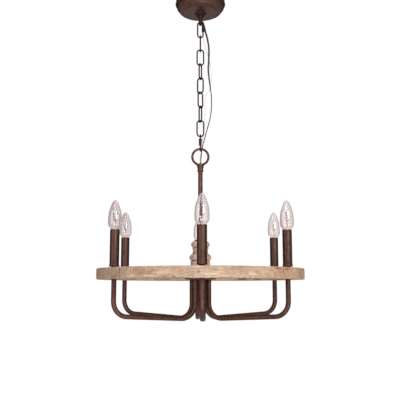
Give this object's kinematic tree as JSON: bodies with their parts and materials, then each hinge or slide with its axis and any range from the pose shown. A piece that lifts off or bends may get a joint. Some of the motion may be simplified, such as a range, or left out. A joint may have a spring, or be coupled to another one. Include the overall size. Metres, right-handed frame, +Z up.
{
  "type": "wagon wheel chandelier",
  "caption": "Wagon wheel chandelier: round wooden rim on bent tubes that carry candle lights, turned hub, rod, ring and chain under a ceiling canopy",
  "frame": {"origin": "middle of the crossbar's top face, on the ceiling plane", "axes": "+Z up; -Y is the front, towards the camera, where the first tube and candle are; +X is to the right seen from the front"},
  "size_m": [0.58, 0.58, 0.9486],
  "materials": {
    "bronze": "matt rust-brown bronze coating",
    "candle_sleeve": "matt rust-brown bronze coating on a thin tube",
    "zinc": "zinc plated",
    "ground_green": "green plated screw",
    "rim_wood": "weathered light oak, matt",
    "dowel_wood": "raw beech",
    "hub_wood": "weathered grey-pink turned wood, matt",
    "bulb_glass": "clear",
    "bulb_brass": "satin",
    "holder_porcelain": "glazed",
    "cord_brown": "matt flat twin lead",
    "cord_clear": "translucent insulation over copper"
  },
  "bodies": {
    "ceiling_fixing": {"crossbar": "zinc", "ground_screw": "ground_green", "nipple": "zinc", "nipple_nuts": "zinc", "hanger_loop": "bronze", "supply_cord": "cord_brown", "ground_wire": "cord_clear"},
    "canopy": {"canopy": "bronze"},
    "collar": {"collar_ring": "bronze"},
    "link_1": {"link_1": "bronze"},
    "link_2": {"link_2": "bronze"},
    "link_3": {"link_3": "bronze"},
    "link_4": {"link_4": "bronze"},
    "link_5": {"link_5": "bronze"},
    "link_6": {"link_6": "bronze"},
    "link_7": {"link_7": "bronze"},
    "link_8": {"link_8": "bronze"},
    "link_9": {"link_9": "bronze"},
    "sleeve_nut_top": {"sleeve_nut_top": "bronze"},
    "sleeve_nut_bottom": {"sleeve_nut_bottom": "bronze"},
    "wheel": {"hanging_ring": "bronze", "rod_collar": "bronze", "rod": "bronze", "hub_cap": "bronze", "hub": "hub_wood", "hub_plate": "bronze", "hub_nuts": "zinc", "felloe_1": "rim_wood", "felloe_2": "rim_wood", "felloe_3": "rim_wood", "felloe_4": "rim_wood", "felloe_dowels": "dowel_wood", "arm_1": "bronze", "arm_2": "bronze", "arm_3": "bronze", "arm_4": "bronze", "arm_5": "bronze", "arm_6": "bronze", "candle_feet": "bronze", "candle_dishes": "bronze", "lamp_holders": "holder_porcelain", "sleeve_1": "candle_sleeve", "sleeve_2": "candle_sleeve", "sleeve_3": "candle_sleeve", "sleeve_4": "candle_sleeve", "sleeve_5": "candle_sleeve", "sleeve_6": "candle_sleeve"},
    "bulb_1": {"bulb_glass_1": "bulb_glass", "bulb_base_1": "bulb_brass"},
    "bulb_2": {"bulb_glass_2": "bulb_glass", "bulb_base_2": "bulb_brass"},
    "bulb_3": {"bulb_glass_3": "bulb_glass", "bulb_base_3": "bulb_brass"},
    "bulb_4": {"bulb_glass_4": "bulb_glass", "bulb_base_4": "bulb_brass"},
    "bulb_5": {"bulb_glass_5": "bulb_glass", "bulb_base_5": "bulb_brass"},
    "bulb_6": {"bulb_glass_6": "bulb_glass", "bulb_base_6": "bulb_brass"}
  },
  "joints": [
    {"name": "canopy_slide", "type": "slide", "parent": "ceiling_fixing", "child": "canopy", "axis": [0, 0, 1], "range_m": [-0.022, 0]},
    {"name": "collar_slide", "type": "slide", "parent": "ceiling_fixing", "child": "collar", "axis": [0, 0, 1], "range_m": [-0.022, 0]},
    {"name": "link_1_swing", "type": "hinge", "parent": "ceiling_fixing", "child": "link_1", "pos_m": [0, 0, -0.0783], "axis": [0, 1, 0], "range_deg": [-30, 30], "deforming": ["supply_cord", "ground_wire"]},
    {"name": "link_2_swing", "type": "hinge", "parent": "link_1", "child": "link_2", "pos_m": [0, 0, -0.1198], "axis": [1, 0, 0], "range_deg": [-30, 30], "deforming": ["supply_cord", "ground_wire"]},
    {"name": "link_3_swing", "type": "hinge", "parent": "link_2", "child": "link_3", "pos_m": [0, 0, -0.163], "axis": [0, -1, 0], "range_deg": [-30, 30], "deforming": ["supply_cord", "ground_wire"]},
    {"name": "link_4_swing", "type": "hinge", "parent": "link_3", "child": "link_4", "pos_m": [0, 0, -0.2062], "axis": [-1, 0, 0], "range_deg": [-30, 30], "deforming": ["supply_cord", "ground_wire"]},
    {"name": "link_5_swing", "type": "hinge", "parent": "link_4", "child": "link_5", "pos_m": [0, 0, -0.2494], "axis": [0.3746, 0.9272, 0], "range_deg": [-30, 30], "deforming": ["supply_cord", "ground_wire"]},
    {"name": "link_6_swing", "type": "hinge", "parent": "link_5", "child": "link_6", "pos_m": [0, 0, -0.2926], "axis": [0.8387, -0.5446, 0], "range_deg": [-30, 30], "deforming": ["supply_cord", "ground_wire"]},
    {"name": "link_7_swing", "type": "hinge", "parent": "link_6", "child": "link_7", "pos_m": [0, 0, -0.3358], "axis": [-0.682, -0.7314, 0], "range_deg": [-30, 30], "deforming": ["supply_cord", "ground_wire"]},
    {"name": "link_8_swing", "type": "hinge", "parent": "link_7", "child": "link_8", "pos_m": [0, 0, -0.379], "axis": [-0.3584, 0.9336, 0], "range_deg": [-30, 30], "deforming": ["supply_cord", "ground_wire"]},
    {"name": "link_9_swing", "type": "hinge", "parent": "link_8", "child": "link_9", "pos_m": [0, 0, -0.4222], "axis": [1, 0, 0], "range_deg": [-30, 30], "deforming": ["supply_cord", "ground_wire"]},
    {"name": "wheel_swing", "type": "hinge", "parent": "link_9", "child": "wheel", "pos_m": [0, 0, -0.4654], "axis": [0, 1, 0], "range_deg": [-30, 30], "deforming": ["supply_cord", "ground_wire"]},
    {"name": "sleeve_nut_top_slide", "type": "slide", "parent": "link_1", "child": "sleeve_nut_top", "axis": [0, 0, -1], "range_m": [0, 0.009]},
    {"name": "sleeve_nut_bottom_slide", "type": "slide", "parent": "link_9", "child": "sleeve_nut_bottom", "axis": [0, 0, -1], "range_m": [0, 0.009]},
    {"name": "bulb_1_pull", "type": "slide", "parent": "wheel", "child": "bulb_1", "axis": [0, 0, 1], "range_m": [0, 0.03]},
    {"name": "bulb_2_pull", "type": "slide", "parent": "wheel", "child": "bulb_2", "axis": [0, 0, 1], "range_m": [0, 0.03]},
    {"name": "bulb_3_pull", "type": "slide", "parent": "wheel", "child": "bulb_3", "axis": [0, 0, 1], "range_m": [0, 0.03]},
    {"name": "bulb_4_pull", "type": "slide", "parent": "wheel", "child": "bulb_4", "axis": [0, 0, 1], "range_m": [0, 0.03]},
    {"name": "bulb_5_pull", "type": "slide", "parent": "wheel", "child": "bulb_5", "axis": [0, 0, 1], "range_m": [0, 0.03]},
    {"name": "bulb_6_pull", "type": "slide", "parent": "wheel", "child": "bulb_6", "axis": [0, 0, 1], "range_m": [0, 0.03]}
  ],
  "couplings": [
    {"joint": "collar_slide", "follows": "canopy_slide", "ratio": 1}
  ]
}
